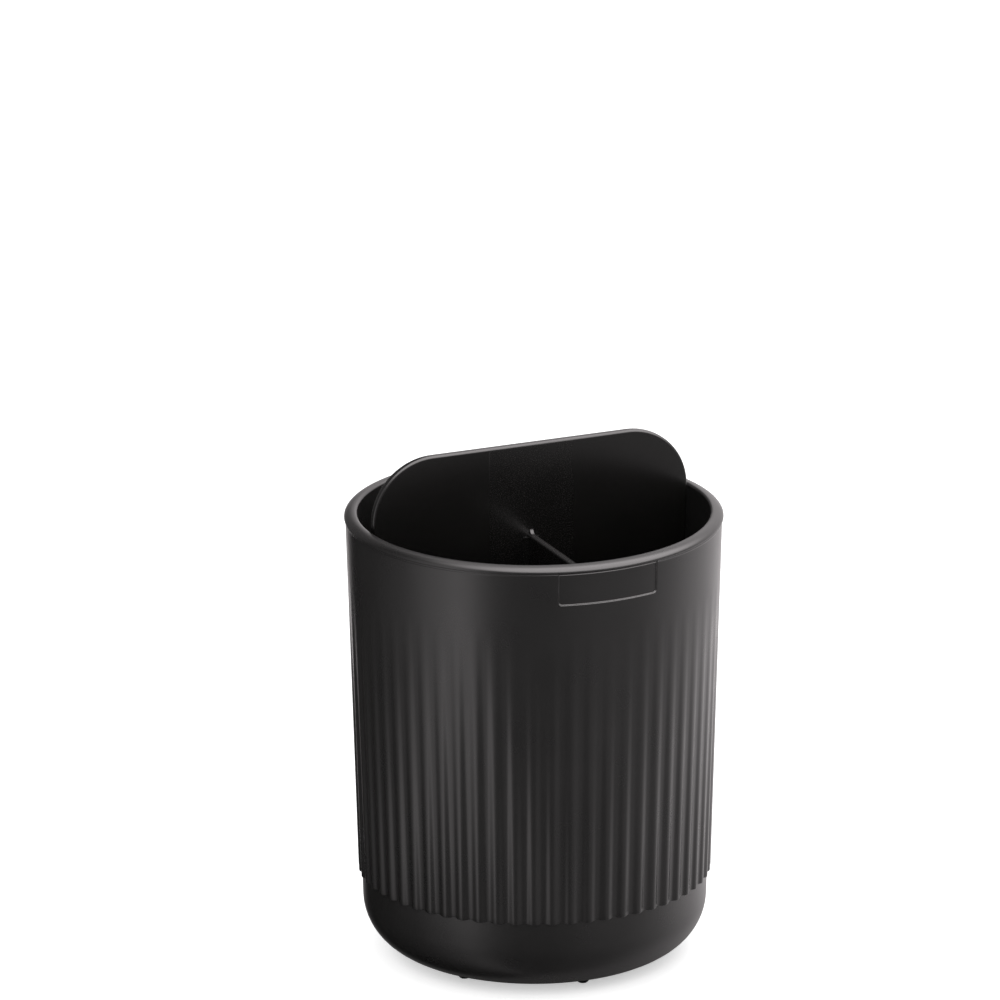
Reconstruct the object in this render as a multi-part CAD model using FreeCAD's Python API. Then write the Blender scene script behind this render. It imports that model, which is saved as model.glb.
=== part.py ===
"""Toothbrush holder: a ribbed cup on six pressed-in feet, with a divider that lifts straight out.

Millimetres. The holder stands on z = 0 with its axis on Z and its plaque towards -Y.
"""

import FreeCAD
import Part

import math
import os

# Cup
rim_diameter = 90.0
cup_height = 108.4
wall_thickness = 2.9
wall_draft = 1.6  # degrees, the wall leans outwards towards the rim
floor_thickness = 3.0
base_round = 12.6
bead_height = 1.5
bead_proud = 0.3
rim_outer_round = 1.0
rim_inner_round = 0.5

# Ribs, parted by flutes that deepen from nothing to their low ends
rib_count = 60
rib_depth = 0.65
rib_land = 0.3
flute_floor = 0.6
flank_ease = 0.36  # share of a flank's width that each of its two bends takes
flute_lip = 0.2
plain_band = 17.5
base_band = 18.9

# Recessed plaque under the bead
plaque_width = 25.0
plaque_height = 7.9
plaque_depth = 0.35
plaque_corner = 0.85

# Divider
divider_clearance = 1.0
panel_thickness = 2.0
panel_setback = 2.3  # from the cup's axis to the middle of the panel
panel_rise = 16.0
panel_corner = 15.5
cross_thickness = 2.0
cross_drop = 6.5
junction_round = 1.5
divider_edge_round = 0.6

# Feet
foot_count = 6
foot_diameter = 3.2
foot_height = 1.4
foot_pad = 1.6
foot_inset = 0.3  # from the edge of the flat underside in to a foot's middle
peg_diameter = 2.2
peg_length = 1.5
peg_clearance = 0.05
socket_room = 0.3

# Heights and radii worked out from the sizes above
draft = math.radians(wall_draft)
rim_radius = rim_diameter / 2
underside = foot_height
rim_top = underside + cup_height
bead_low = rim_top - bead_height
ribs_low = underside + base_band
ribs_top = rim_top - plain_band
floor_top = underside + floor_thickness
inner_round = base_round - wall_thickness
origin = FreeCAD.Vector(0, 0, 0)
axis = FreeCAD.Vector(0, 0, 1)
across = FreeCAD.Vector(1, 0, 0)
back = FreeCAD.Vector(0, 1, 0)


def crest_radius(z):
    """Radius of the smooth wall, which the rib crests carry on downwards."""
    return rim_radius - bead_proud - (bead_low - z) * math.tan(draft)


def inner_radius(z):
    """Radius of the inside of the wall."""
    return crest_radius(z) - wall_thickness


base_radius = crest_radius(ribs_low) - rib_depth - flute_lip


def base_wall_radius(z):
    """Radius of the smooth base above its rounded corner."""
    return base_radius - (ribs_low - z) * math.tan(draft)


flat_radius = base_wall_radius(underside + base_round) - base_round / math.cos(draft)
foot_circle = flat_radius - foot_inset


def line(points):
    """Straight edges through points in turn."""
    return [Part.LineSegment(a, b).toShape() for a, b in zip(points, points[1:])]


def arc(centre_a, centre_b, radius, start, end, place):
    """Arc in a plane, between two angles in degrees; place turns plane points into space."""
    spots = []
    for angle in (start, (start + end) / 2, end):
        turn = math.radians(angle)
        spots.append(place(centre_a + radius * math.cos(turn), centre_b + radius * math.sin(turn)))
    return Part.Arc(*spots).toShape()


def prism(edges, along):
    """Solid swept from a closed outline."""
    return Part.Face(Part.Wire(Part.__sortEdges__(edges))).extrude(along)


def revolved(edges):
    """Solid of revolution from a closed half profile."""
    return Part.Face(Part.Wire(Part.__sortEdges__(edges))).revolve(origin, axis, 360)


def half(r, z):
    """Point of a half profile."""
    return FreeCAD.Vector(r, 0, z)


def cup_blank():
    """The cup as turned, with its ribbed band still a plain cone."""
    base_turn = underside + base_round
    floor_turn = floor_top + inner_round
    floor_centre = inner_radius(floor_turn) - inner_round / math.cos(draft)
    outer_top = rim_radius - rim_outer_round
    inner_top = inner_radius(rim_top - rim_inner_round)
    base_arc = arc(flat_radius, base_turn, base_round, -90, -wall_draft, half)
    floor_arc = arc(floor_centre, floor_turn, inner_round, -90, -wall_draft, half)
    outer_arc = arc(outer_top, rim_top - rim_outer_round, rim_outer_round, 0, 90, half)
    inner_arc = arc(inner_top + rim_inner_round, rim_top - rim_inner_round, rim_inner_round, 90, 180, half)
    outside = [
        base_arc.lastVertex().Point,
        half(base_radius, ribs_low),
        half(crest_radius(ribs_low), ribs_low),
        half(crest_radius(bead_low), bead_low),
        half(rim_radius, bead_low),
        outer_arc.firstVertex().Point,
    ]
    edges = line([half(0, underside), half(flat_radius, underside)])
    edges += [base_arc]
    edges += line(outside)
    edges += [outer_arc]
    edges += line([outer_arc.lastVertex().Point, inner_arc.firstVertex().Point])
    edges += [inner_arc]
    edges += line([inner_arc.lastVertex().Point, floor_arc.lastVertex().Point])
    edges += [floor_arc]
    edges += line([half(floor_centre, floor_top), half(0, floor_top), half(0, underside)])
    return revolved(edges)


def flute_section(z, depth):
    """Outline of one flute at a height: a wave from the ribs' crests down to a narrow floor."""
    crest = crest_radius(z)
    outside = crest + rib_depth
    floor_half = flute_floor / 2
    mouth_half = (2 * math.pi * crest_radius(ribs_low) / rib_count - rib_land) / 2
    lip = math.sqrt(crest ** 2 - mouth_half ** 2)
    bend = flank_ease * (mouth_half - floor_half)
    along_wall = bend * mouth_half / lip
    flanks = []
    for side in (1, -1):
        curve = Part.BezierCurve()
        curve.setPoles([
            FreeCAD.Vector(lip, side * mouth_half, z),
            FreeCAD.Vector(lip + along_wall, side * (mouth_half - bend), z),
            FreeCAD.Vector(crest - depth, side * (floor_half + bend), z),
            FreeCAD.Vector(crest - depth, side * floor_half, z),
        ])
        flanks.append(curve.toShape())
    right, left = flanks
    bottom = line([right.lastVertex().Point, left.lastVertex().Point])
    outer = line([
        left.firstVertex().Point,
        FreeCAD.Vector(outside, -mouth_half, z),
        FreeCAD.Vector(outside, mouth_half, z),
        right.firstVertex().Point,
    ])
    return Part.Wire(Part.__sortEdges__([right] + bottom + [left] + outer))


def flute_cutters():
    """What is taken out between the ribs, one rib under the middle of the plaque."""
    overrun = 2 * rib_depth
    slope = rib_depth / (ribs_top - ribs_low)
    low = flute_section(ribs_low - overrun, rib_depth + slope * overrun)
    high = flute_section(ribs_top + overrun, -slope * overrun)
    cutter = Part.makeLoft([low, high], True, True)
    cutters = []
    for index in range(rib_count):
        flute = cutter.copy()
        flute.rotate(origin, axis, -90 + 360 * (index + 0.5) / rib_count)
        cutters.append(flute)
    return cutters


def plaque_cutter():
    """The shallow recess, its floor curved with the wall and its lower corners rounded."""
    low = bead_low - plaque_height
    side = plaque_width / 2 - plaque_corner

    def place(x, z):
        return FreeCAD.Vector(x, -rim_radius, z)

    left_arc = arc(-side, low + plaque_corner, plaque_corner, 180, 270, place)
    right_arc = arc(side, low + plaque_corner, plaque_corner, 270, 360, place)
    top_right = place(plaque_width / 2, bead_low)
    top_left = place(-plaque_width / 2, bead_low)
    edges = [left_arc, right_arc]
    edges += line([left_arc.lastVertex().Point, right_arc.firstVertex().Point])
    edges += line([right_arc.lastVertex().Point, top_right, top_left, left_arc.firstVertex().Point])
    window = prism(edges, back * rim_radius)
    ring = revolved(line([
        half(crest_radius(low) - plaque_depth, low),
        half(rim_radius, low),
        half(rim_radius, bead_low),
        half(crest_radius(bead_low) - plaque_depth, bead_low),
        half(crest_radius(low) - plaque_depth, low),
    ]))
    return window.common(ring)


def foot_places():
    """Centres of the feet, the first one under the plaque."""
    places = []
    for index in range(foot_count):
        turn = math.radians(-90 + 360 * index / foot_count)
        places.append(FreeCAD.Vector(foot_circle * math.cos(turn), foot_circle * math.sin(turn), 0))
    return places


def socket_cutters():
    """Blind sockets in the underside for the feet's pegs."""
    radius = peg_diameter / 2 + peg_clearance
    depth = peg_length + socket_room
    return [Part.makeCylinder(radius, depth, spot + axis * underside) for spot in foot_places()]


def make_cup():
    """Ribbed cup with its plaque and foot sockets."""
    return cup_blank().cut(flute_cutters() + [plaque_cutter()] + socket_cutters())


def seat_edge(z, offset):
    """How far the divider reaches at a height, in a plane at this offset from the cup's axis."""
    return math.sqrt((inner_radius(z) - divider_clearance) ** 2 - offset ** 2)


def seat_outline(offset, place):
    """Edges up one side of the divider's outline, from the floor to the foot of its straight edge.

    It stands on the floor as far as the floor is flat and clears the rounded corner and the wall.
    """
    turn = floor_top + inner_round
    corner = inner_round - divider_clearance
    centre = seat_edge(turn, offset) - corner / math.cos(draft)
    low_arc = arc(centre, turn, corner, -90, -wall_draft, place)
    step = centre - divider_clearance
    edges = line([
        place(step, floor_top),
        place(step, floor_top + divider_clearance),
        place(centre, floor_top + divider_clearance),
    ])
    return edges + [low_arc]


def make_panel():
    """The tall panel behind the cup's axis, with its two large rounded top corners."""
    front_face = panel_setback - panel_thickness / 2
    rear_face = panel_setback + panel_thickness / 2
    top = rim_top + panel_rise
    crown_height = top - panel_corner
    crown_centre = seat_edge(crown_height, rear_face) - panel_corner / math.cos(draft)

    def place(x, z):
        return FreeCAD.Vector(x, front_face, z)

    lower = seat_outline(rear_face, place)
    crown = arc(crown_centre, crown_height, panel_corner, -wall_draft, 90, place)
    half_outline = line([place(0, floor_top), lower[0].firstVertex().Point])
    half_outline += lower
    half_outline += line([lower[-1].lastVertex().Point, crown.firstVertex().Point])
    half_outline += [crown]
    half_outline += line([crown.lastVertex().Point, place(0, top)])
    other_half = [edge.mirror(origin, across) for edge in half_outline]
    panel = prism(half_outline + other_half, back * panel_thickness).removeSplitter()
    rounded = []
    for edge in panel.Edges:
        box = edge.BoundBox
        if box.YLength < panel_thickness / 2 and box.ZMax > rim_top:
            rounded.append(edge)
    return panel.makeFillet(divider_edge_round, rounded)


def make_cross():
    """The low wall from the panel to the front of the cup."""
    top = rim_top - cross_drop
    side = cross_thickness / 2

    def place(reach, z):
        return FreeCAD.Vector(-side, -reach, z)

    lower = seat_outline(side, place)
    edges = lower + line([
        lower[-1].lastVertex().Point,
        place(seat_edge(top, side), top),
        place(-panel_setback, top),
        place(-panel_setback, floor_top),
        lower[0].firstVertex().Point,
    ])
    cross = prism(edges, across * cross_thickness)
    rounded = []
    for edge in cross.Edges:
        box = edge.BoundBox
        if box.ZMin > top - divider_edge_round and box.YLength > box.XLength:
            rounded.append(edge)
    return cross.makeFillet(divider_edge_round, rounded)


def junction_webs():
    """Concave fillets where the low wall meets the panel, at both sides and on top."""
    face = panel_setback - panel_thickness / 2
    side = cross_thickness / 2
    top = rim_top - cross_drop
    room = junction_round

    def level(x, y):
        return FreeCAD.Vector(x, y, floor_top)

    def upright(y, z):
        return FreeCAD.Vector(divider_edge_round - side, y, z)

    side_edges = [arc(side + room, face - room, room, 90, 180, level)]
    side_edges += line([
        level(side, face - room),
        level(0, face - room),
        level(0, face),
        level(side + room, face),
    ])
    side_web = prism(side_edges, axis * (top - divider_edge_round - floor_top))
    top_edges = [arc(face - room, top + room, room, -90, 0, upright)]
    top_edges += line([
        upright(face, top + room),
        upright(face, top - room),
        upright(face - room, top - room),
        upright(face - room, top),
    ])
    top_web = prism(top_edges, across * (cross_thickness - 2 * divider_edge_round))
    return [side_web, side_web.mirror(origin, across), top_web]


def make_divider():
    """Panel and low wall as one moulding."""
    return make_panel().fuse([make_cross()] + junction_webs()).removeSplitter()


def make_foot(spot):
    """Domed foot with a small flat pad to stand on and a peg for its socket."""
    head = foot_diameter / 2
    pad = foot_pad / 2
    peg = peg_diameter / 2
    eighth = math.pi / 4
    swell = half(pad + (head - pad) * math.sin(eighth), foot_height * (1 - math.cos(eighth)))
    edges = [Part.Arc(half(pad, 0), swell, half(head, foot_height)).toShape()]
    edges += line([half(0, 0), half(pad, 0)])
    edges += line([
        half(head, foot_height),
        half(peg, foot_height),
        half(peg, foot_height + peg_length),
        half(0, foot_height + peg_length),
        half(0, 0),
    ])
    foot = revolved(edges)
    foot.translate(spot)
    return foot


os.makedirs("parts", exist_ok=True)
pieces = {"cup": make_cup(), "divider": make_divider()}
for number, spot in enumerate(foot_places(), start=1):
    pieces[f"foot_{number}"] = make_foot(spot)
for name, shape in pieces.items():
    shape.exportStep(f"parts/{name}.step")
    print(f"{name}: valid {shape.isValid()}, solids {len(shape.Solids)}, volume {shape.Volume:.1f}")
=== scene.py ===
"""Looks of the toothbrush holder: a ribbed satin cup, its lift-out divider and its six rubber feet."""

import math

import bmesh
import bpy
from bpy.props import FloatProperty, FloatVectorProperty, IntProperty, PointerProperty
from mathutils import Matrix, Vector


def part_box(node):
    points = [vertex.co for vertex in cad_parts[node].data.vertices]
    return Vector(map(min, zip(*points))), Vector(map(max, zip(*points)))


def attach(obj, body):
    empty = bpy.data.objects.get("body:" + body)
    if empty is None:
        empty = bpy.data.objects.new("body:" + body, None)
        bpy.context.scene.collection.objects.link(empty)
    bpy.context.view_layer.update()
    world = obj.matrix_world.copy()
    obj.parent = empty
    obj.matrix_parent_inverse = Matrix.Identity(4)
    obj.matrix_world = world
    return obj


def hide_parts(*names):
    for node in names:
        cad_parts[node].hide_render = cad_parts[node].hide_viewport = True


bl_info = {
    "name": "Ribbed toothbrush holder",
    "version": (1, 0, 0),
    "blender": (4, 5, 0),
    "location": "3D View > Sidebar > Holder",
    "description": "Models the cup, the divider and the feet of a toothbrush holder, and its studio",
    "category": "Object",
}

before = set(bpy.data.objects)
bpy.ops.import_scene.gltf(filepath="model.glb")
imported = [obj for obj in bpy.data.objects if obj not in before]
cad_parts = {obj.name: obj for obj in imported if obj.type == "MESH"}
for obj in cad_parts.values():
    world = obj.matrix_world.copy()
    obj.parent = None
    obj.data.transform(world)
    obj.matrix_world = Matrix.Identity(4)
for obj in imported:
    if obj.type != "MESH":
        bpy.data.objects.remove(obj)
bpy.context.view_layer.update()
cup_low, cup_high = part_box("cup")
divider_low, divider_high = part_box("divider")
foot_low, foot_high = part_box("foot_1")
FOOT_NODES = sorted(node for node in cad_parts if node.startswith("foot_"))

MM = 0.001
MERGE = 1e-5
# Distances of mesh rows on the cup, where no size of the cup sets them
SHOULDER_ROW = 2.0 * MM
END_ROW = 0.8 * MM
PLAIN_ROW = 2.5 * MM
PLAQUE_ROW = 0.3 * MM
INSIDE_ROW = 36.0 * MM
# Mesh rows as parts of a rib's rounded end and of the plaque's height
END_PARTS = (0.0, 0.18, 0.45, 1.0)
PLAQUE_PARTS = (0.3, 0.5, 0.7, 0.9)
# Angles in degrees over which edges stay sharp
CUP_SMOOTH = 62
DIVIDER_SMOOTH = 35
FOOT_SMOOTH = 40


def size(name, text, millimetres):
    """A length that a user would change."""
    return FloatProperty(
        name=name, description=text, default=millimetres * MM,
        subtype="DISTANCE", unit="LENGTH", precision=5,
    )


def angle(name, text, degrees):
    """An angle that a user would change."""
    turn = math.radians(degrees)
    return FloatProperty(name=name, description=text, default=turn, subtype="ANGLE", unit="ROTATION")


def share(name, text, default):
    """A part of one."""
    return FloatProperty(name=name, description=text, default=default, min=0.0, max=1.0, subtype="FACTOR")


def colour(name, text, default):
    """A linear colour."""
    return FloatVectorProperty(
        name=name, description=text, default=default, size=3, min=0.0, max=1.0, subtype="COLOR"
    )


def brightness(name, text, default):
    """How bright a light is, with no upper limit."""
    return FloatProperty(name=name, description=text, default=default, min=0.0)


class CupSizes(bpy.types.PropertyGroup):
    """Sizes of the cup, with its radii worked out by height."""

    rim_radius: size("Rim radius", "Outer radius of the bead", (cup_high.x - cup_low.x) / 2 / MM)
    underside: size("Underside", "Height of the cup's underside over the floor", cup_low.z / MM)
    rim_top: size("Rim", "Height of the rim over the floor", cup_high.z / MM)
    wall: size("Wall", "Thickness of the wall", 2.9)
    draft: angle("Draft", "Lean of the wall towards the rim", 1.6)
    base_round: size("Base round", "Radius of the base's outer corner", 12.6)
    bead_height: size("Bead height", "Height of the bead round the rim", 1.5)
    bead_proud: size("Bead", "How far the bead stands off the wall", 0.3)
    bead_fillet: size("Bead fillet", "Radius of the bead's lower edge and of its foot", 0.15)
    crown_run: size("Crown run", "Width of the rim's rounded outer edge", 2.3)
    crown_rise: size("Crown rise", "Height of the rim's rounded outer edge", 1.3)
    seam_drop: size("Seam drop", "Distance of the mould's seam under the bead", 0.4)
    seam_width: size("Seam width", "Width of the seam", 0.24)
    seam_proud: size("Seam", "How far the seam stands off the wall", 0.065)
    inner_round: size("Inner edge", "Radius of the rim's inner edge", 0.6)
    rib_count: IntProperty(name="Ribs", description="Number of ribs round the wall", default=60, min=3)
    rib_depth: size("Rib depth", "Depth of a flute at its low end", 0.65)
    rib_land: size("Rib land", "Width of the part of a rib that follows the wall", 0.3)
    flute_floor: size("Flute floor", "Width of the flat floor between two ribs", 0.6)
    corner_run: size("Corner run", "Width over which a rib's low corner is rounded", 1.6)
    corner_rise: size("Corner rise", "Height over which a rib's low corner is rounded", 0.38)
    end_round: size("Rib end", "Height over which a rib's end face and edge are rounded", 0.28)
    flute_lip: size("Lip", "How far a flute's floor stands off the base", 0.2)
    plain_band: size("Plain band", "Height of the smooth wall from the rim to the ribs", 17.5)
    base_band: size("Base band", "Height of the smooth base under the ribs", 18.9)
    plaque_width: size("Plaque width", "Width of the recessed plaque", 25.0)
    plaque_height: size("Plaque height", "Height of the plaque under the bead", 7.9)
    plaque_depth: size("Plaque depth", "Depth of the recess", 0.35)
    plaque_corner: size("Plaque corner", "Radius of the plaque's lower corners", 0.85)
    plaque_ledge: size("Plaque ledge", "Width of the rounded edge round the plaque", 0.26)

    @property
    def bead_low(self):
        return self.rim_top - self.bead_height

    @property
    def ribs_low(self):
        return self.underside + self.base_band

    @property
    def ribs_top(self):
        return self.rim_top - self.plain_band

    @property
    def plaque_low(self):
        return self.bead_low - self.plaque_height

    def crest(self, z):
        """Radius of the smooth wall, which the rib crests carry on downwards."""
        return self.rim_radius - self.bead_proud - (self.bead_low - z) * math.tan(self.draft)

    def inside(self, z):
        """Radius of the inside of the wall."""
        return self.crest(z) - self.wall

    def base(self, z):
        """Radius of the smooth base above its rounded corner."""
        low = self.ribs_low
        return self.crest(low) - self.rib_depth - self.flute_lip - (low - z) * math.tan(self.draft)

    def flute(self, z):
        """Radius of the flute floors, which run out into the wall at the ribs' top."""
        low, top = self.ribs_low, self.ribs_top
        if z <= low:
            return self.base(z)
        fade = max(0.0, (top - z) / (top - low))
        return self.crest(z) - fade * (self.rib_depth + self.flute_lip)


class DividerSizes(bpy.types.PropertyGroup):
    """Sizes of the lift-out divider."""

    floor: size("Floor", "Height of the cup's floor, which the divider stands on", divider_low.z / MM)
    top: size("Top", "Height of the panel's top edge", divider_high.z / MM)
    front: size("Front", "Reach of the low wall towards the plaque", -divider_low.y / MM)
    rear: size("Rear", "Place of the panel's rear face", divider_high.y / MM)
    clearance: size("Clearance", "Room between the divider and the cup", 1.0)
    panel_thickness: size("Panel", "Thickness of the panel", 2.0)
    panel_corner: size("Corner", "Radius of the panel's top corners", 15.5)
    cross_thickness: size("Low wall", "Thickness of the low wall", 2.0)
    cross_drop: size("Drop", "Depth of the low wall's top under the rim", 6.5)
    junction_round: size("Junction", "Radius of the fillets where the low wall meets the panel", 1.5)
    edge_round: size("Edges", "Radius of the rounded edges", 0.6)
    witness_reach: size("Witness reach", "Distance of the mould's witness lines from the middle", 10.7)
    witness_width: size("Witness width", "Width of a witness line", 0.22)
    witness_proud: size("Witness", "How far a witness line stands off the panel", 0.05)
    witness_right: size("Right line", "Depth of the right line's low end under the rim", 1.5)
    witness_left: size("Left line", "Depth of the left line's low end under the rim", 34.0)
    level_proud: size("Level line", "How far the short level line stands off the panel", 0.012)
    level_drop: size("Level drop", "Depth of the level line under the rim", 1.4)
    level_start: size("Level start", "Distance of its inner end from the middle", 1.0)
    level_gap: size("Level gap", "Room between its outer end and the right line", 1.2)


class FootSizes(bpy.types.PropertyGroup):
    """Sizes of one foot."""

    radius: size("Radius", "Radius of the dome under the base", (foot_high.x - foot_low.x) / 2 / MM)
    pad: size("Pad", "Radius of the flat pad that the foot stands on", 0.8)
    height: size("Height", "Height of the dome", 1.4)
    seat: size("Seat", "How far the dome is set into the base", 0.05)


class Finishes(bpy.types.PropertyGroup):
    """Colours and gloss of the moulded plastic and the rubber."""

    cup_dark: colour("Cup", "Darker tone of the cup's plastic", (0.0084, 0.0080, 0.0079))
    cup_light: colour("Cup bloom", "Lighter tone of the cup's plastic", (0.0114, 0.0109, 0.0108))
    divider_dark: colour("Divider", "Darker tone of the divider's plastic", (0.0034, 0.0033, 0.0031))
    divider_light: colour("Divider bloom", "Lighter tone of the divider's plastic", (0.0095, 0.0091, 0.0085))
    rubber_dark: colour("Rubber", "Darker tone of the feet", (0.0070, 0.0070, 0.0070))
    rubber_light: colour("Rubber bloom", "Lighter tone of the feet", (0.0120, 0.0120, 0.0120))
    satin: share("Satin", "Mean roughness of the plastic", 0.29)
    satin_spread: share("Satin spread", "How far the roughness strays from its mean", 0.03)


class StageSettings(bpy.types.PropertyGroup):
    """Camera, floor and studio light."""

    azimuth: angle("Azimuth", "Side that the camera stands on, from the plaque", -23.5)
    elevation: angle("Elevation", "Height of the camera over the horizon", 17.78)
    roll: angle("Roll", "Turn of the camera about its own axis", -0.21)
    distance: size("Distance", "Distance of the camera from the point it is set on", 2046.5)
    aim_height: size("Aim height", "Height of that point on the cup's axis", 50.0)
    slide: size("Slide", "Sideways slide of the camera", -8.20)
    lift: size("Lift", "Upward slide of the camera", 59.15)
    lens: FloatProperty(
        name="Lens", description="Focal length in millimetres", default=308.2, subtype="DISTANCE_CAMERA"
    )
    floor_size: size("Floor", "Side of the floor", 6000.0)
    floor_colour: colour("Floor colour", "Colour of the floor", (0.95, 0.95, 0.95))
    floor_lift: share("Floor lift", "Light added to the floor where the camera sees it", 0.59)
    # Painted close shadow: less of the floor's added light right beside the holder
    contact: size("Contact", "Reach of the close shadow under the holder", 3.0)
    contact_light: share("Contact light", "Part of that light left in the close shadow", 0.74)
    fill: share("Fill", "Soft light from all round", 0.80)
    overhead: brightness("Overhead", "How bright the light overhead is", 6.2)
    dark_card: brightness("Dark card", "How light the card behind on the left is", 0.2)
    # Painted shade of the ground seen in reflections close to and under the holder
    low_shade: share("Low shade", "Light left in reflections of the ground close to the holder", 0.24)
    shade_shift: size("Shade shift", "How far the ground's shade is set off to the camera's left", 28.0)
    shade_near: size("Shade near", "Distance from its middle where the ground's reflection is dark", 34.0)
    shade_far: size("Shade far", "Distance from its middle where that reflection is light again", 126.0)
    under_shade: share("Under shade", "Part of that light left right under the holder", 0.1)
    under_near: size("Under near", "Distance from the axis up to which the ground is darkest", 27.0)
    under_far: size("Under far", "Distance from the axis where that darkness ends", 47.0)


def deselect_all():
    """Leaves nothing selected, in object mode."""
    bpy.ops.object.select_all(action="DESELECT")


def start_piece(name):
    """A new mesh of one vertex at the origin, selected in edit mode."""
    deselect_all()
    bpy.ops.mesh.primitive_plane_add(size=MM)
    piece = bpy.context.object
    piece.name = name
    piece.data.name = name
    bpy.ops.object.mode_set(mode="EDIT")
    bpy.ops.mesh.select_mode(type="VERT")
    bpy.ops.mesh.select_all(action="SELECT")
    bpy.ops.mesh.merge(type="CENTER")
    return piece


def draw(points):
    """Moves the one vertex to the first point and extrudes it along the others."""
    bpy.ops.transform.translate(value=points[0])
    for here, there in zip(points, points[1:]):
        bpy.ops.mesh.extrude_vertices_move(TRANSFORM_OT_translate={"value": there - here})


def arc(centre_a, centre_b, radius, start, end, steps):
    """Points of an arc in a plane, between two angles in radians."""
    points = []
    for step in range(steps + 1):
        turn = start + (end - start) * step / steps
        points.append((centre_a + radius * math.cos(turn), centre_b + radius * math.sin(turn)))
    return points


def tidy_edit_mesh():
    """Merges doubles and turns all faces outwards."""
    bpy.ops.mesh.select_all(action="SELECT")
    bpy.ops.mesh.remove_doubles(threshold=MERGE)
    bpy.ops.mesh.normals_make_consistent(inside=False)


def choose(piece, kind, test):
    """Selects, in edit mode, the vertices, edges or faces that pass a test of their place."""
    bpy.ops.mesh.select_mode(type=kind)
    bpy.ops.mesh.select_all(action="DESELECT")
    mesh = bmesh.from_edit_mesh(piece.data)
    found = 0
    for part in {"VERT": mesh.verts, "EDGE": mesh.edges, "FACE": mesh.faces}[kind]:
        if test(part):
            part.select_set(True)
            found += 1
    bmesh.update_edit_mesh(piece.data)
    if not found:
        raise RuntimeError(f"{piece.name} has no part to select here")


def lathe(name, half_profile, steps):
    """Spins a half profile of radii and heights about the Z axis, starting at -Y."""
    piece = start_piece(name)
    draw([Vector((0, -radius, z)) for radius, z in half_profile])
    bpy.ops.mesh.select_all(action="SELECT")
    bpy.ops.mesh.spin(steps=steps, angle=math.tau, center=(0, 0, 0), axis=(0, 0, 1))
    tidy_edit_mesh()
    return piece


def plate(name, outline, along):
    """A flat plate from a closed outline, extruded along a vector."""
    piece = start_piece(name)
    draw(outline + outline[:1])
    bpy.ops.mesh.select_all(action="SELECT")
    bpy.ops.mesh.remove_doubles(threshold=MERGE)
    bpy.ops.mesh.edge_face_add()
    bpy.ops.mesh.extrude_region_move(TRANSFORM_OT_translate={"value": along})
    tidy_edit_mesh()
    return piece


def apply_modifier(piece, kind, **settings):
    """Adds a modifier with these settings and applies it."""
    bpy.context.view_layer.objects.active = piece
    modifier = piece.modifiers.new(kind.lower(), kind)
    for name, value in settings.items():
        setattr(modifier, name, value)
    bpy.ops.object.modifier_apply(modifier=modifier.name)


def displace(piece, name, depth, weight):
    """Moves the surface along its normals by a share of a depth that depends on the place."""
    group = piece.vertex_groups.new(name=name)
    for vertex in piece.data.vertices:
        part = weight(vertex.co)
        if part > 0:
            group.add([vertex.index], part, "REPLACE")
    apply_modifier(piece, "DISPLACE", strength=depth, mid_level=0.0, vertex_group=name)
    piece.vertex_groups.remove(piece.vertex_groups[name])


def join_solids(piece, others):
    """Unites closed meshes with a piece and removes them."""
    for other in others:
        apply_modifier(piece, "BOOLEAN", operation="UNION", solver="EXACT", object=other)
        bpy.data.objects.remove(other, do_unlink=True)


def shade(piece, degrees):
    """Smooth shading, with edges sharper than an angle kept sharp."""
    deselect_all()
    piece.select_set(True)
    bpy.context.view_layer.objects.active = piece
    bpy.ops.object.shade_smooth_by_angle(angle=math.radians(degrees))


def ease(value):
    """A smooth step from 0 to 1."""
    value = min(1.0, max(0.0, value))
    return value * value * (3 - 2 * value)


def finish_piece(piece, body, material, nodes):
    """Gives a piece its finish and the body it rides on, and hides the nodes it stands for."""
    piece.data.materials.clear()
    piece.data.materials.append(material)
    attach(piece, body)
    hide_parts(*nodes)


# Cup


def cup_profile(cup):
    """Half profile of the cup from the middle of its underside round to the middle of its floor."""
    quarter = math.pi / 2
    base_turn = cup.underside + cup.base_round
    flat = cup.base(base_turn) - cup.base_round / math.cos(cup.draft)
    points = [(0.0, cup.underside)]
    points += arc(flat, base_turn, cup.base_round, -quarter, -cup.draft, steps=14)
    shoulder = cup.ribs_low - SHOULDER_ROW
    points += [(cup.base(shoulder), shoulder)]
    points += [(cup.flute(z), z) for z in rib_rows(cup)]
    points += [(cup.crest(z), z) for z in plain_rows(cup)]
    points += seam(cup)
    wall = cup.crest(cup.bead_low)
    fillet = cup.bead_fillet
    points += arc(wall + fillet, cup.bead_low - fillet, fillet, math.pi, quarter, steps=3)
    points += arc(cup.rim_radius - fillet, cup.bead_low + fillet, fillet, -quarter, 0, steps=3)
    for run, rise in arc(0.0, 0.0, 1.0, 0, quarter, steps=9):
        radius = cup.rim_radius - cup.crown_run * (1 - run)
        points.append((radius, cup.rim_top - cup.crown_rise * (1 - rise)))
    lip = cup.inside(cup.rim_top - cup.inner_round) + cup.inner_round
    points += arc(lip, cup.rim_top - cup.inner_round, cup.inner_round, quarter, math.pi, steps=5)
    divider = bpy.context.scene.holder_divider
    corner = cup.base_round - cup.wall
    floor_turn = divider.floor + corner
    centre = cup.inside(floor_turn) - corner / math.cos(cup.draft)
    points += [(cup.inside(z), z) for z in (cup.ribs_top, cup.ribs_top - INSIDE_ROW)]
    points += arc(centre, floor_turn, corner, -cup.draft, -quarter, steps=10)
    points += [(0.0, divider.floor)]
    clean = points[:1]
    for point in points[1:]:
        if math.dist(point, clean[-1]) > MERGE:
            clean.append(point)
    return clean


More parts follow.
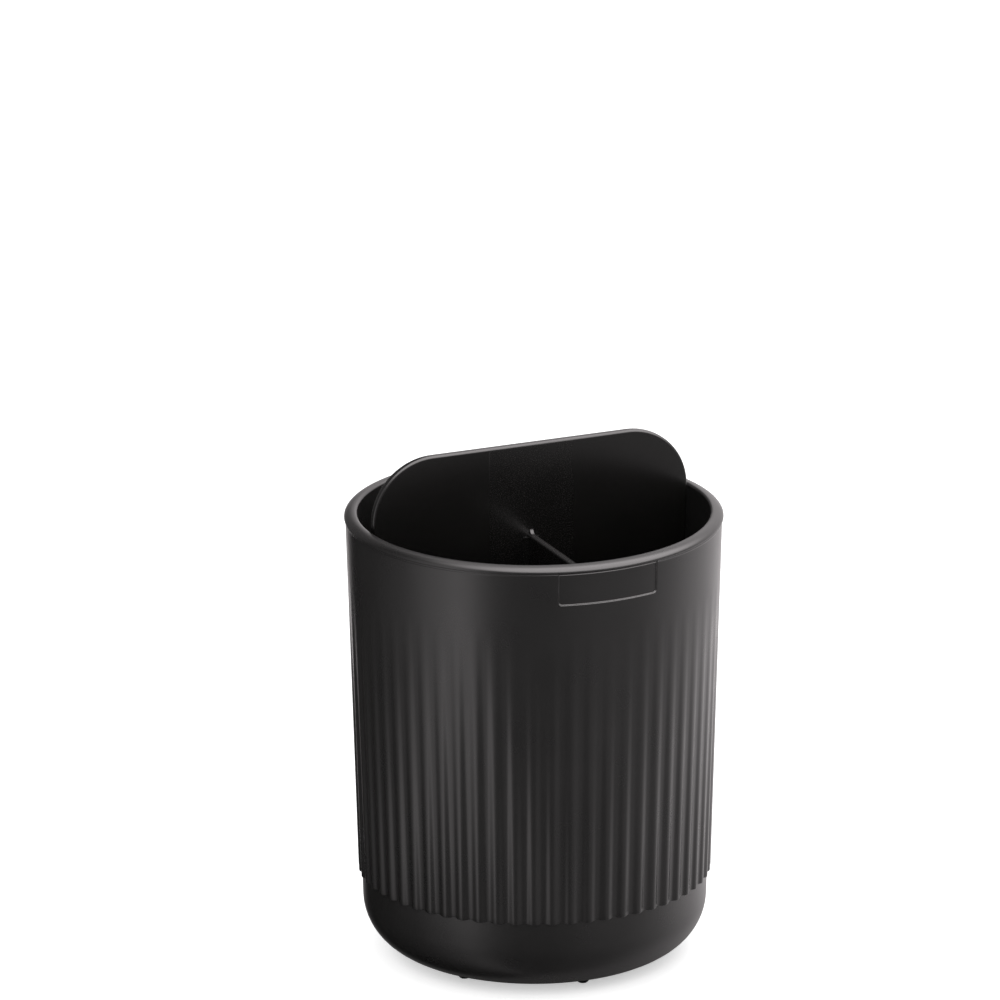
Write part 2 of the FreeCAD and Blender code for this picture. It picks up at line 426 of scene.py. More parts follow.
def seam(cup):
    """Profile of the thin seam that the mould left on the wall under the bead."""
    middle = cup.bead_low - cup.seam_drop
    points = []
    for part, height in ((-0.5, 0.0), (-0.2, 1.0), (0.2, 1.0), (0.5, 0.0)):
        z = middle + part * cup.seam_width
        points.append((cup.crest(z) + height * cup.seam_proud, z))
    return points


def rib_rows(cup):
    """Heights of the mesh rows from the ribs' low ends to where they run out."""
    low, top = cup.ribs_low, cup.ribs_top
    rows = [low + part * cup.end_round for part in END_PARTS]
    start = low + cup.end_round + cup.corner_rise + END_ROW
    steps = 8
    rows += [start + (top - start) * step / steps for step in range(steps + 1)]
    return rows


def plain_rows(cup):
    """Heights of the mesh rows on the smooth wall, close together at the plaque's lower edge."""
    low = cup.plaque_low
    rows = [low + step * PLAQUE_ROW for step in range(-3, 5)]
    rows += [low + part * cup.plaque_height for part in PLAQUE_PARTS]
    return [cup.ribs_top + PLAIN_ROW] + rows


def column_offsets(cup):
    """Distances of the mesh columns from the middle of a flute to the middle of the next rib."""
    foot = cup.flute_floor / 2
    half_pitch = math.pi * cup.crest(cup.ribs_low) / cup.rib_count
    flank = half_pitch - cup.rib_land / 2 - foot
    steps = 6
    return [0.0] + [foot + flank * step / steps for step in range(steps + 1)] + [half_pitch]


def rib_sector(name, cup):
    """One rib between the middles of two flutes, spun column by column from the half profile."""
    pitch = math.tau / cup.rib_count
    half = [offset / cup.crest(cup.ribs_low) for offset in column_offsets(cup)]
    turns = half + [pitch - turn for turn in reversed(half[:-1])]
    start = Matrix.Rotation(-pitch / 2, 3, "Z")
    piece = start_piece(name)
    draw([start @ Vector((0, -radius, z)) for radius, z in cup_profile(cup)])
    bpy.ops.mesh.select_all(action="SELECT")
    for here, there in zip(turns, turns[1:]):
        bpy.ops.mesh.spin(steps=1, angle=there - here, center=(0, 0, 0), axis=(0, 0, 1))
    tidy_edit_mesh()
    return piece


def repeat_round(piece, count):
    """Repeats a sector all the way round the Z axis and welds the copies."""
    deselect_all()
    bpy.ops.object.empty_add(rotation=(0, 0, math.tau / count))
    turn = bpy.context.object
    settings = {"use_relative_offset": False, "use_object_offset": True, "offset_object": turn}
    weld = {"use_merge_vertices": True, "use_merge_vertices_cap": True, "merge_threshold": MERGE}
    apply_modifier(piece, "ARRAY", count=count, **settings, **weld)
    bpy.data.objects.remove(turn, do_unlink=True)
    bpy.ops.object.mode_set(mode="EDIT")
    tidy_edit_mesh()


def rib_offset(cup, place):
    """Distance round the wall from the middle of the nearest flute, at the ribs' low ends."""
    pitch = math.tau / cup.rib_count
    turn = math.atan2(place.x, -place.y) / pitch - 0.5
    return abs(turn - round(turn)) * pitch * cup.crest(cup.ribs_low)


def rib_height(cup, offset):
    """Share of a rib's height at a distance from the middle of the flute: a wave."""
    foot = cup.flute_floor / 2
    crest = math.pi * cup.crest(cup.ribs_low) / cup.rib_count - cup.rib_land / 2
    up = min(1.0, max(0.0, (offset - foot) / (crest - foot)))
    return (1 - math.cos(math.pi * up)) / 2


def rib_end_rise(cup, offset):
    """How far a rib's end is drawn up at this distance from the flute, which rounds its corners."""
    half_pitch = math.pi * cup.crest(cup.ribs_low) / cup.rib_count
    from_middle = half_pitch - offset
    edge = half_pitch - cup.flute_floor / 2
    into = (from_middle - (edge - cup.corner_run)) / cup.corner_run
    into = min(1.0, max(0.0, into))
    return cup.corner_rise * (1 - math.sqrt(1 - into ** 2))


def round_rib_ends(cup, piece):
    """Draws the low ends of the ribs up at their corners, column by column."""
    low = cup.ribs_low - MERGE
    high = cup.ribs_low + cup.end_round + MERGE
    outside = cup.base(low) - MM
    near = 0.02 * MM
    for column in column_offsets(cup):
        rise = rib_end_rise(cup, column)
        if rise <= 0:
            continue

        def in_column(vertex):
            place = vertex.co
            if not low < place.z < high or place.xy.length < outside:
                return False
            return abs(rib_offset(cup, place) - column) < near

        choose(piece, "VERT", in_column)
        bpy.ops.transform.translate(value=(0, 0, rise))


def raise_ribs(cup, piece):
    """Raises the ribs from the smooth flute surface."""
    low, top = cup.ribs_low, cup.ribs_top
    outside = cup.base(low) - MM
    depth = cup.rib_depth + cup.flute_lip

    def weight(place):
        if not low < place.z < top or place.xy.length < outside:
            return 0.0
        offset = rib_offset(cup, place)
        into = (place.z - low - rib_end_rise(cup, offset)) / cup.end_round
        into = min(1.0, max(0.0, into))
        end = math.sqrt(1 - (1 - into) ** 4)
        fade = (cup.crest(place.z) - cup.flute(place.z)) / depth
        return (cup.flute_lip + rib_height(cup, offset) * cup.rib_depth) / depth * fade * end

    displace(piece, "ribs", depth, weight)


def refine_plaque(cup, piece):
    """Divides the faces round the plaque, so that its edge is smooth."""
    margin = 0.7 * MM
    side = cup.plaque_width / 2 + margin

    def in_zone(face):
        middle = face.calc_center_median()
        on_wall = middle.y < 0 and middle.xy.length > cup.inside(middle.z) + cup.wall / 2
        in_height = cup.plaque_low - margin < middle.z < cup.bead_low - cup.bead_fillet
        return on_wall and in_height and abs(middle.x) < side

    choose(piece, "FACE", in_zone)
    bpy.ops.mesh.subdivide(number_cuts=3)


def sink_plaque(cup, piece):
    """Presses the plaque into the wall, with rounded lower corners and a soft ledge."""
    corner = cup.plaque_corner
    half_width = cup.plaque_width / 2
    top = cup.bead_low - cup.bead_fillet / 2

    def weight(place):
        if place.y > 0 or place.z > top or place.xy.length < cup.inside(place.z) + cup.wall / 2:
            return 0.0
        across = abs(place.x) - (half_width - corner)
        down = cup.plaque_low + corner - place.z
        if across > 0 and down > 0:
            out = math.hypot(across, down) - corner
        else:
            out = max(across, down) - corner
        return ease(0.5 - out / cup.plaque_ledge)

    displace(piece, "plaque", -cup.plaque_depth, weight)


class HOLDER_OT_cup(bpy.types.Operator):
    """Turn the cup, raise its ribs and sink its plaque"""

    bl_idname = "holder.cup"
    bl_label = "Cup"

    def execute(self, context):
        cup = context.scene.holder_cup
        piece = rib_sector("ribbed_cup", cup)
        round_rib_ends(cup, piece)
        bpy.ops.object.mode_set(mode="OBJECT")
        raise_ribs(cup, piece)
        repeat_round(piece, cup.rib_count)
        refine_plaque(cup, piece)
        bpy.ops.object.mode_set(mode="OBJECT")
        sink_plaque(cup, piece)
        shade(piece, CUP_SMOOTH)
        finish_piece(piece, "cup_body", cup_plastic(), ["cup"])
        return {"FINISHED"}


# Divider


def seat_reach(cup, divider, z, offset):
    """How far the divider reaches at a height, in a plane at this offset from the cup's axis."""
    return math.sqrt((cup.inside(z) - divider.clearance) ** 2 - offset ** 2)


def seat_outline(cup, divider, offset):
    """Points up one side of the divider's outline, from the floor to the foot of its straight edge."""
    corner = cup.base_round - cup.wall - divider.clearance
    turn = divider.floor + corner + divider.clearance
    centre = seat_reach(cup, divider, turn, offset) - corner / math.cos(cup.draft)
    points = [(centre - divider.clearance, divider.floor)]
    points += [(centre - divider.clearance, divider.floor + divider.clearance)]
    return points + arc(centre, turn, corner, -math.pi / 2, -cup.draft, steps=10)


def round_edges(piece, test, radius):
    """Rounds the edges that pass a test, and leaves edit mode."""
    choose(piece, "EDGE", test)
    bpy.ops.mesh.bevel(offset=radius, segments=5, profile=0.5, affect="EDGES")
    bpy.ops.object.mode_set(mode="OBJECT")


def divider_panel(cup, divider):
    """The tall panel with its two large rounded top corners."""
    crown = divider.top - divider.panel_corner
    centre = seat_reach(cup, divider, crown, divider.rear) - divider.panel_corner / math.cos(cup.draft)
    side = seat_outline(cup, divider, divider.rear)
    side += arc(centre, crown, divider.panel_corner, -cup.draft, math.pi / 2, steps=28)
    front = divider.rear - divider.panel_thickness
    outline = [Vector((x, front, z)) for x, z in side]
    outline += [Vector((-x, front, z)) for x, z in reversed(side)]
    piece = plate("divider", outline, Vector((0, divider.panel_thickness, 0)))
    rim = cup.rim_top
    flat = divider.panel_thickness / 2

    def top_edge(edge):
        first, last = (vertex.co for vertex in edge.verts)
        return abs(first.y - last.y) < flat and max(first.z, last.z) > rim

    round_edges(piece, top_edge, divider.edge_round)
    return piece


def divider_cross(cup, divider):
    """The low wall from the panel to the front of the cup."""
    top = cup.rim_top - divider.cross_drop
    half = divider.cross_thickness / 2
    inner = divider.rear - divider.panel_thickness / 2
    side = seat_outline(cup, divider, half) + [(seat_reach(cup, divider, top, half), top)]
    side += [(-inner, top), (-inner, divider.floor)]
    outline = [Vector((-half, -reach, z)) for reach, z in side]
    piece = plate("low_wall", outline, Vector((divider.cross_thickness, 0, 0)))

    def top_edge(edge):
        first, last = (vertex.co for vertex in edge.verts)
        return min(first.z, last.z) > top - MERGE and abs(first.y - last.y) > half

    round_edges(piece, top_edge, divider.edge_round)
    return piece


def junction_webs(cup, divider):
    """Concave fillets where the low wall meets the panel, at both sides and on top."""
    face = divider.rear - divider.panel_thickness
    inner = face + divider.panel_thickness / 2
    half = divider.cross_thickness / 2
    room = divider.junction_round
    top = cup.rim_top - divider.cross_drop
    quarter = math.pi / 2
    webs = []
    for hand in (1, -1):
        curve = arc(half + room, face - room, room, quarter, math.pi, steps=8)
        outline = [(x * hand, y) for x, y in curve]
        outline += [(0.0, face - room), (0.0, inner), ((half + room) * hand, inner)]
        points = [Vector((x, y, divider.floor)) for x, y in outline]
        height = top - divider.edge_round - divider.floor
        webs.append(plate("side_web", points, Vector((0, 0, height))))
        bpy.ops.object.mode_set(mode="OBJECT")
    curve = arc(face - room, top + room, room, -quarter, 0, steps=8)
    outline = curve + [(inner, top + room), (inner, top - room), (face - room, top - room)]
    left = divider.edge_round - half
    points = [Vector((left, y, z)) for y, z in outline]
    webs.append(plate("top_web", points, Vector((-2 * left, 0, 0))))
    bpy.ops.object.mode_set(mode="OBJECT")
    return webs


def witness_line(divider, start, end, rise):
    """A thin raised line on the panel's front face, between two places across and up it."""
    face = divider.rear - divider.panel_thickness
    along = Vector((end[0] - start[0], 0, end[1] - start[1]))
    side = Vector((-along.z, 0, along.x)).normalized() * divider.witness_width / 2
    foot = Vector((start[0], face, start[1]))
    deep = Vector((0, divider.witness_width, 0))
    proud = Vector((0, -rise, 0))
    outline = [foot - side + deep, foot - side, foot - side / 2 + proud, foot + side / 2 + proud]
    outline += [foot + side, foot + side + deep]
    line = plate("witness_line", outline, along)
    bpy.ops.object.mode_set(mode="OBJECT")
    return line


def witness_lines(cup, divider):
    """What the mould's insert left on the panel: two upright lines and a short level one."""
    reach = divider.witness_reach
    rim = cup.rim_top
    level = rim - divider.level_drop
    over = divider.top - divider.edge_round
    proud = divider.witness_proud
    right = witness_line(divider, (reach, rim - divider.witness_right), (reach, over), proud)
    left = witness_line(divider, (-reach, rim - divider.witness_left), (-reach, over), proud)
    outer = reach - divider.level_gap
    short = witness_line(divider, (divider.level_start, level), (outer, level), divider.level_proud)
    return [right, left, short]


class HOLDER_OT_divider(bpy.types.Operator):
    """Model the tall panel and the low wall as one moulding"""

    bl_idname = "holder.divider"
    bl_label = "Divider"

    def execute(self, context):
        cup = context.scene.holder_cup
        divider = context.scene.holder_divider
        piece = divider_panel(cup, divider)
        joined = [divider_cross(cup, divider)] + junction_webs(cup, divider)
        join_solids(piece, joined + witness_lines(cup, divider))
        shade(piece, DIVIDER_SMOOTH)
        apply_modifier(piece, "WEIGHTED_NORMAL", keep_sharp=True)
        piece.name = "lift_out_divider"
        finish_piece(piece, "divider_body", divider_plastic(), ["divider"])
        return {"FINISHED"}


# Feet


class HOLDER_OT_feet(bpy.types.Operator):
    """Turn one domed foot and set a copy of it at each foot's place"""

    bl_idname = "holder.feet"
    bl_label = "Feet"

    def execute(self, context):
        foot = context.scene.holder_foot
        rubber = foot_rubber()
        dome = [(0.0, 0.0)]
        steps = 10
        for step in range(steps + 1):
            turn = math.pi / 2 * step / steps
            swell = foot.pad + (foot.radius - foot.pad) * math.sin(turn)
            dome.append((swell, foot.height * (1 - math.cos(turn))))
        dome += [(foot.radius, foot.height + foot.seat), (0.0, foot.height + foot.seat)]
        first = lathe("foot", dome, steps=48)
        bpy.ops.object.mode_set(mode="OBJECT")
        shade(first, FOOT_SMOOTH)
        for foot_node in FOOT_NODES:
            low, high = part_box(foot_node)
            copy = first.copy()
            copy.data = first.data.copy()
            copy.name = f"rubber_{foot_node}"
            copy.data.name = copy.name
            context.collection.objects.link(copy)
            place = Vector(((low.x + high.x) / 2, (low.y + high.y) / 2, low.z))
            copy.data.transform(Matrix.Translation(place))
            finish_piece(copy, "cup_body", rubber, [foot_node])
        bpy.data.objects.remove(first, do_unlink=True)
        return {"FINISHED"}


# Materials


def node(tree, kind, **settings):
    """A new node with these settings."""
    made = tree.nodes.new(kind)
    for name, value in settings.items():
        setattr(made, name, value)
    return made


def smooth_rise(tree, value, start, end, low=0.0):
    """A smooth change from a low value to one, as a value goes from a start to an end."""
    spread = node(tree, "ShaderNodeMapRange", interpolation_type="SMOOTHSTEP")
    spread.inputs["From Min"].default_value = start
    spread.inputs["From Max"].default_value = end
    spread.inputs["To Min"].default_value = low
    tree.links.new(value, spread.inputs["Value"])
    return spread.outputs[0]


def either(tree, test, first, second):
    """The first shader, or the second one where a test is one."""
    mix = node(tree, "ShaderNodeMixShader")
    tree.links.new(test, mix.inputs["Fac"])
    tree.links.new(first, mix.inputs[1])
    tree.links.new(second, mix.inputs[2])
    return mix.outputs[0]


def moulded_grain():
    """Shared node group: fine grain, soft unevenness and mottling of a moulded surface."""
    found = bpy.data.node_groups.get("moulded_grain")
    if found:
        return found
    tree = bpy.data.node_groups.new("moulded_grain", "ShaderNodeTree")
    tree.interface.new_socket("Vector", in_out="INPUT", socket_type="NodeSocketVector")
    for name, value in (("Grain", 5200.0), ("Waves", 420.0), ("Mottle", 70.0)):
        socket = tree.interface.new_socket(name, in_out="INPUT", socket_type="NodeSocketFloat")
        socket.default_value = value
    tree.interface.new_socket("Height", in_out="OUTPUT", socket_type="NodeSocketFloat")
    tree.interface.new_socket("Mottle", in_out="OUTPUT", socket_type="NodeSocketFloat")
    tree.interface.new_socket("Speckle", in_out="OUTPUT", socket_type="NodeSocketFloat")
    come = node(tree, "NodeGroupInput")
    leave = node(tree, "NodeGroupOutput")
    link = tree.links.new
    grain = node(tree, "ShaderNodeTexNoise")
    grain.inputs["Detail"].default_value = 2.0
    waves = node(tree, "ShaderNodeTexNoise")
    waves.inputs["Detail"].default_value = 1.0
    mottle = node(tree, "ShaderNodeTexNoise")
    mottle.inputs["Detail"].default_value = 3.0
    for texture, scale in ((grain, "Grain"), (waves, "Waves"), (mottle, "Mottle")):
        link(come.outputs["Vector"], texture.inputs["Vector"])
        link(come.outputs[scale], texture.inputs["Scale"])
    height = node(tree, "ShaderNodeMath", operation="MULTIPLY_ADD")
    height.inputs[1].default_value = 3.0
    link(waves.outputs[0], height.inputs[0])
    link(grain.outputs[0], height.inputs[2])
    speckle = smooth_rise(tree, grain.outputs[0], start=0.56, end=0.74)
    link(height.outputs[0], leave.inputs["Height"])
    link(mottle.outputs[0], leave.inputs["Mottle"])
    link(speckle, leave.inputs["Speckle"])
    return tree


def start_material(name, ior_level):
    """A new material with object coordinates, the shared grain and a principled shader."""
    material = bpy.data.materials.new(name)
    material.use_nodes = True
    tree = material.node_tree
    shader = tree.nodes["Principled BSDF"]
    shader.inputs["Specular IOR Level"].default_value = ior_level
    place = node(tree, "ShaderNodeTexCoord")
    grain = node(tree, "ShaderNodeGroup")
    grain.node_tree = moulded_grain()
    tree.links.new(place.outputs["Object"], grain.inputs["Vector"])
    return material, tree, shader, place, grain


def tone(tree, shader, mask, dark, light):
    """Base colour between two tones by a mask."""
    mix = node(tree, "ShaderNodeMix", data_type="RGBA")
    mix.inputs["A"].default_value = (*dark, 1.0)
    mix.inputs["B"].default_value = (*light, 1.0)
    tree.links.new(mask, mix.inputs["Factor"])
    tree.links.new(mix.outputs["Result"], shader.inputs["Base Color"])


def gloss(tree, shader, mask, smooth, rough):
    """Roughness between two values by a mask."""
    spread = node(tree, "ShaderNodeMapRange")
    spread.inputs["From Min"].default_value = 0.3
    spread.inputs["From Max"].default_value = 0.7
    spread.inputs["To Min"].default_value = smooth
    spread.inputs["To Max"].default_value = rough
    tree.links.new(mask, spread.inputs["Value"])
    tree.links.new(spread.outputs[0], shader.inputs["Roughness"])


def relief(tree, shader, height, strength, distance):
    """Bump from a height."""
    bump = node(tree, "ShaderNodeBump")
    bump.inputs["Strength"].default_value = strength
    bump.inputs["Distance"].default_value = distance
    tree.links.new(height, bump.inputs["Height"])
    tree.links.new(bump.outputs["Normal"], shader.inputs["Normal"])


def cup_plastic():
    """Satin charcoal plastic of the cup."""
    finishes = bpy.context.scene.holder_finishes
    material, tree, shader, _, grain = start_material("satin_charcoal", ior_level=0.5)
    tone(tree, shader, grain.outputs["Mottle"], finishes.cup_dark, finishes.cup_light)
    satin, spread = finishes.satin, finishes.satin_spread
    gloss(tree, shader, grain.outputs["Mottle"], satin - spread, satin + spread)
    relief(tree, shader, grain.outputs["Height"], strength=0.25, distance=0.004 * MM)
    return material


def divider_plastic():
    """Charcoal plastic of the divider, rougher between the witness lines."""
    finishes = bpy.context.scene.holder_finishes
    divider = bpy.context.scene.holder_divider
    material, tree, shader, place, grain = start_material("divider_charcoal", ior_level=0.5)
    link = tree.links.new
    axes = node(tree, "ShaderNodeSeparateXYZ")
    link(place.outputs["Object"], axes.inputs[0])
    across = node(tree, "ShaderNodeMath", operation="ABSOLUTE")
    link(axes.outputs["X"], across.inputs[0])
    reach, blur = divider.witness_reach, 0.5 * MM
    zone = smooth_rise(tree, across.outputs[0], start=reach + blur, end=reach - blur)
    dusty = node(tree, "ShaderNodeMath", operation="MULTIPLY")
    link(grain.outputs["Speckle"], dusty.inputs[0])
    link(zone, dusty.inputs[1])
    mask = node(tree, "ShaderNodeMath", operation="MULTIPLY_ADD", use_clamp=True)
    mask.inputs[1].default_value = 0.5
    link(grain.outputs["Mottle"], mask.inputs[0])
    link(dusty.outputs[0], mask.inputs[2])
    tone(tree, shader, mask.outputs[0], finishes.divider_dark, finishes.divider_light)
    satin, spread = finishes.satin, finishes.satin_spread
    gloss(tree, shader, mask.outputs[0], satin - spread, satin + 2 * spread)
    relief(tree, shader, grain.outputs["Height"], strength=0.3, distance=0.005 * MM)
    return material


def foot_rubber():
    """Matt black rubber of the feet."""
    finishes = bpy.context.scene.holder_finishes
    material, tree, shader, _, grain = start_material("matt_rubber", ior_level=0.3)
    grain.inputs["Grain"].default_value = 9000.0
    tone(tree, shader, grain.outputs["Speckle"], finishes.rubber_dark, finishes.rubber_light)
    gloss(tree, shader, grain.outputs["Mottle"], smooth=0.62, rough=0.75)
    relief(tree, shader, grain.outputs["Height"], strength=0.4, distance=0.01 * MM)
    return material


# Stage


WHITE = (1.0, 1.0, 1.0, 1.0)
# Angle from the camera's side in degrees, positive to its right, and how light the studio is there
SURROUND = (
    (-180, 1.18), (-168, 1.45), (-155, 0.02), (-118, 0.07), (-90, 0.28),
    (-62, 1.05), (-46, 1.72), (-26, 0.34), (-10, 0.22), (10, 0.22),
    (42, 0.45), (68, 0.48), (90, 0.82), (112, 1.18), (180, 1.18),
)
SURROUND_TINT = (1.03, 0.98, 0.99)
# Heading from the camera's side, height, full part and reach of two places in the studio, in degrees
OVERHEAD = (60, 62, 32, 64)
DARK_CARD = (-148, 18, 22, 34)
# Name, place, aim and side in metres, and watts of each soft lamp
LAMPS = (
    ("key", (0.45, 0.35, 0.9), (0, 0, 0.05), 0.6, 3.0),
    ("front", (-0.5, -0.8, 0.6), (0, 0, 0.06), 0.5, 1.5),
)
SENSOR_WIDTH = 36.0
CLIP_START = 0.01
CLIP_END = 20.0


def close_shadow(tree, stage):
    """Light added to the floor, with less of it right beside the holder: a painted close shadow, from
    ambient occlusion.
    """
    contact = node(tree, "ShaderNodeAmbientOcclusion")
    contact.inputs["Distance"].default_value = stage.contact
    level = node(tree, "ShaderNodeMapRange")
    level.inputs["To Min"].default_value = stage.floor_lift * stage.contact_light
    level.inputs["To Max"].default_value = stage.floor_lift
    tree.links.new(contact.outputs["AO"], level.inputs["Value"])
    return level.outputs[0]


def ground_shade(tree, stage):
    """Part of a reflection that passes the floor: less near the holder, least right under it, which is
    painted shade of the ground in reflections.
    """
    link = tree.links.new
    place = node(tree, "ShaderNodeTexCoord")
    away = node(tree, "ShaderNodeVectorMath", operation="DISTANCE")
    left = Vector((-math.cos(stage.azimuth), -math.sin(stage.azimuth), 0.0))
    away.inputs[1].default_value = left * stage.shade_shift
    link(place.outputs["Object"], away.inputs[0])
    near = smooth_rise(tree, away.outputs["Value"], stage.shade_near, stage.shade_far, stage.low_shade)
    middle = node(tree, "ShaderNodeVectorMath", operation="LENGTH")
    link(place.outputs["Object"], middle.inputs[0])
    distance = middle.outputs["Value"]
    under = smooth_rise(tree, distance, stage.under_near, stage.under_far, stage.under_shade)
    open_part = node(tree, "ShaderNodeMath", operation="MULTIPLY")
    link(near, open_part.inputs[0])
    link(under, open_part.inputs[1])
    return open_part.outputs[0]


def floor_finish(stage):
    """Pale floor: white where the camera sees it, keeping its shadows, with a painted close shadow beside
    the holder.

    It lets reflections through to the studio, less of them close to the holder, as painted shade.
    """
    material = bpy.data.materials.new("pale_floor")
    material.use_nodes = True
    tree = material.node_tree
    link = tree.links.new
    shader = tree.nodes["Principled BSDF"]
    shader.inputs["Base Color"].default_value = (*stage.floor_colour, 1.0)
    shader.inputs["Roughness"].default_value = 0.9
    shader.inputs["Specular IOR Level"].default_value = 0.0
    rays = node(tree, "ShaderNodeLightPath")
    seen = node(tree, "ShaderNodeMath", operation="MULTIPLY")
    link(rays.outputs["Is Camera Ray"], seen.inputs[0])
    link(close_shadow(tree, stage), seen.inputs[1])
    lift = node(tree, "ShaderNodeEmission")
    link(seen.outputs[0], lift.inputs["Strength"])
    lit = node(tree, "ShaderNodeAddShader")
    link(shader.outputs[0], lit.inputs[0])
    link(lift.outputs[0], lit.inputs[1])
    through = node(tree, "ShaderNodeBsdfTransparent")
    link(ground_shade(tree, stage), through.inputs["Color"])
    surface = either(tree, rays.outputs["Is Glossy Ray"], lit.outputs[0], through.outputs[0])
    link(surface, tree.nodes["Material Output"].inputs["Surface"])
    return material


def place_in_studio(tree, direction, stage, degrees):
    """Mask that is one round a place in the studio and falls to nothing at its reach."""
    heading, height, core, reach = (math.radians(part) for part in degrees)
    heading += stage.azimuth
    level = Vector((math.sin(heading), -math.cos(heading), 0.0)) * math.cos(height)
    towards = node(tree, "ShaderNodeVectorMath", operation="DOT_PRODUCT")
    towards.inputs[1].default_value = level + Vector((0.0, 0.0, math.sin(height)))
    tree.links.new(direction, towards.inputs[0])
    return smooth_rise(tree, towards.outputs["Value"], start=math.cos(reach), end=math.cos(core))


def studio_surround(tree, stage):
    """How light the studio is: by the angle from the camera's side, a dark card and a light overhead."""
    link = tree.links.new
    place = node(tree, "ShaderNodeTexCoord")
    turn = node(tree, "ShaderNodeMapping")
    turn.inputs["Rotation"].default_value = (0, 0, math.pi / 2 - stage.azimuth)
    sweep = node(tree, "ShaderNodeTexGradient", gradient_type="RADIAL")
    ramp = node(tree, "ShaderNodeValToRGB")
    ramp.color_ramp.interpolation = "EASE"
    stops = ramp.color_ramp.elements
    while len(stops) < len(SURROUND):
        stops.new(0.5)
    for stop, (degrees, level) in zip(stops, SURROUND):
        stop.position = 0.5 + degrees / 360
        stop.color = (*(level * part for part in SURROUND_TINT), 1.0)
    link(place.outputs["Generated"], turn.inputs["Vector"])
    link(turn.outputs["Vector"], sweep.inputs["Vector"])
    link(sweep.outputs["Fac"], ramp.inputs["Fac"])
    light = ramp.outputs["Color"]
    for degrees, strength in ((DARK_CARD, stage.dark_card), (OVERHEAD, stage.overhead)):
        level = node(tree, "ShaderNodeMix", data_type="RGBA")
        level.inputs["B"].default_value = (*(strength * part for part in SURROUND_TINT), 1.0)
        link(place_in_studio(tree, place.outputs["Generated"], stage, degrees), level.inputs["Factor"])
        link(light, level.inputs["A"])
        light = level.outputs["Result"]
    return light


def studio_world(stage):
    """White to the camera, the studio in reflections and a soft fill for the rest."""
    world = bpy.data.worlds.new("studio")
    bpy.context.scene.world = world
    world.use_nodes = True
    tree = world.node_tree
    link = tree.links.new
    fill = tree.nodes["Background"]
    fill.inputs["Color"].default_value = WHITE
    fill.inputs["Strength"].default_value = stage.fill
    rays = node(tree, "ShaderNodeLightPath")
    card = node(tree, "ShaderNodeBackground")
    link(studio_surround(tree, stage), card.inputs["Color"])
    white = node(tree, "ShaderNodeBackground")
    white.inputs["Color"].default_value = WHITE
    mirrored = either(tree, rays.outputs["Is Glossy Ray"], fill.outputs[0], card.outputs[0])
    seen = either(tree, rays.outputs["Is Camera Ray"], mirrored, white.outputs[0])
    link(seen, tree.nodes["World Output"].inputs["Surface"])


def soft_lamp(name, place, aim, side, watts):
    """A square soft lamp turned to a point."""
    deselect_all()
    bpy.ops.object.light_add(type="AREA", location=place)
    lamp = bpy.context.object
    lamp.name = name
    lamp.rotation_euler = (Vector(aim) - Vector(place)).to_track_quat("-Z", "Y").to_euler()
    lamp.data.shape = "SQUARE"
    lamp.data.size = side
    lamp.data.energy = watts
    lamp.visible_camera = False
    lamp.visible_glossy = False


def studio_camera(stage):
    """Camera at the photograph's place."""
    deselect_all()
    bpy.ops.object.camera_add()
    camera = bpy.context.object
    camera.name = "camera"
    turn, rise, roll = stage.azimuth, stage.elevation, stage.roll
    back = Vector((math.sin(turn) * math.cos(rise), -math.cos(turn) * math.cos(rise), math.sin(rise)))
    level = Vector((math.cos(turn), math.sin(turn), 0.0))
    upward = back.cross(level)
    right = level * math.cos(roll) + upward * math.sin(roll)
    up = upward * math.cos(roll) - level * math.sin(roll)
    eye = Vector((0, 0, stage.aim_height)) + back * stage.distance + right * stage.slide + up * stage.lift
    camera.matrix_world = Matrix.Translation(eye) @ Matrix((right, up, back)).transposed().to_4x4()
    camera.data.sensor_width = SENSOR_WIDTH
    camera.data.lens = stage.lens
    camera.data.clip_start = CLIP_START
    camera.data.clip_end = CLIP_END
    bpy.context.scene.camera = camera


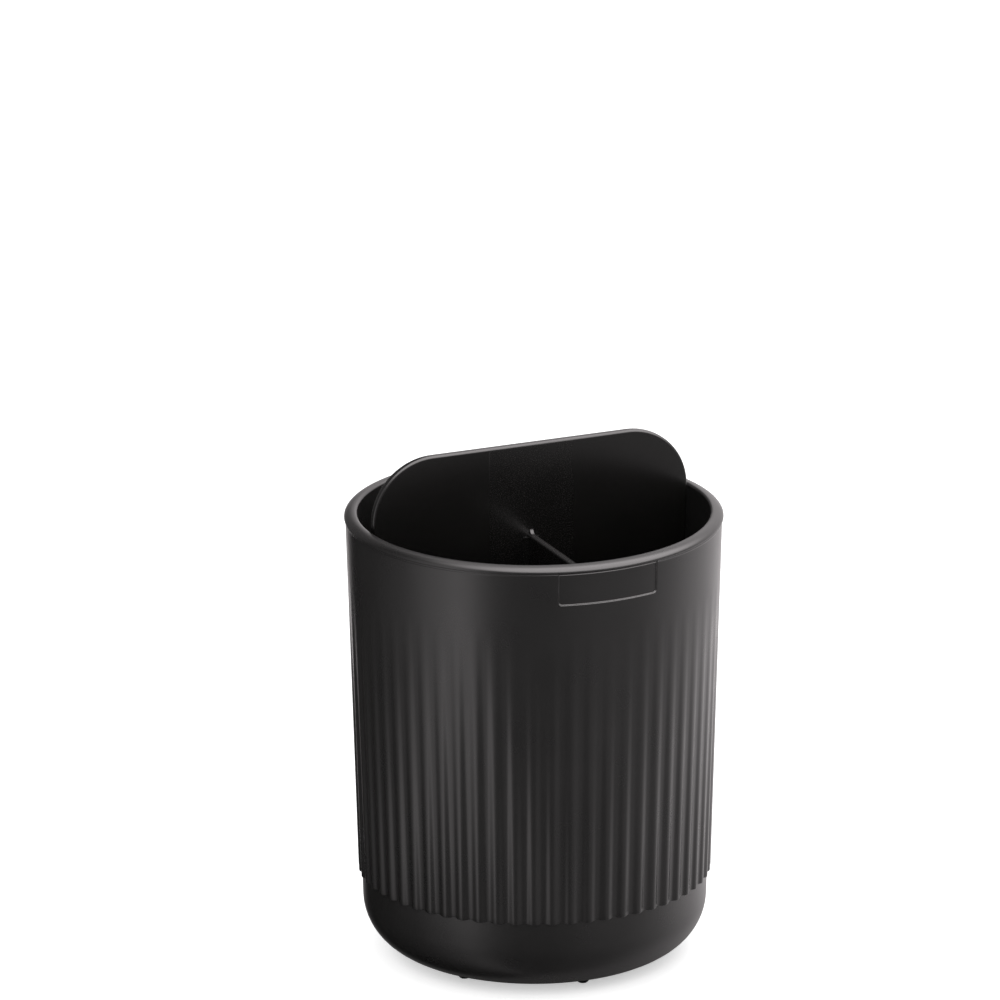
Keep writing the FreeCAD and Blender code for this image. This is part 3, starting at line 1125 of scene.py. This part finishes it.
class HOLDER_OT_stage(bpy.types.Operator):
    """Set the camera, the pale floor and the soft light"""

    bl_idname = "holder.stage"
    bl_label = "Stage"

    def execute(self, context):
        stage = context.scene.holder_stage
        studio_camera(stage)
        deselect_all()
        bpy.ops.mesh.primitive_plane_add(size=stage.floor_size)
        ground = context.object
        ground.name = "floor"
        ground.data.materials.append(floor_finish(stage))
        studio_world(stage)
        for lamp in LAMPS:
            soft_lamp(*lamp)
        context.scene.view_settings.view_transform = "Standard"
        return {"FINISHED"}


# Panel and registration


BUILD_STEPS = (HOLDER_OT_cup, HOLDER_OT_divider, HOLDER_OT_feet, HOLDER_OT_stage)
SETTINGS = (
    ("holder_cup", CupSizes),
    ("holder_divider", DividerSizes),
    ("holder_foot", FootSizes),
    ("holder_finishes", Finishes),
    ("holder_stage", StageSettings),
)


class HOLDER_PT_build(bpy.types.Panel):
    """The steps that build the holder, and their sizes"""

    bl_idname = "HOLDER_PT_build"
    bl_label = "Toothbrush holder"
    bl_space_type = "VIEW_3D"
    bl_region_type = "UI"
    bl_category = "Holder"

    def draw(self, context):
        for step in BUILD_STEPS:
            self.layout.operator(step.bl_idname)
        for name, group in SETTINGS:
            box = self.layout.box()
            for key in group.__annotations__:
                box.prop(getattr(context.scene, name), key)


def register():
    """Registers the settings, the steps and the panel."""
    for name, group in SETTINGS:
        bpy.utils.register_class(group)
        setattr(bpy.types.Scene, name, PointerProperty(type=group))
    for step in BUILD_STEPS:
        bpy.utils.register_class(step)
    bpy.utils.register_class(HOLDER_PT_build)


def unregister():
    """Takes the panel, the steps and the settings away again."""
    bpy.utils.unregister_class(HOLDER_PT_build)
    for step in reversed(BUILD_STEPS):
        bpy.utils.unregister_class(step)
    for name, group in reversed(SETTINGS):
        delattr(bpy.types.Scene, name)
        bpy.utils.unregister_class(group)


def main():
    register()
    bpy.ops.holder.cup()
    bpy.ops.holder.divider()
    bpy.ops.holder.feet()
    bpy.ops.holder.stage()


if __name__ == "__main__":
    main()
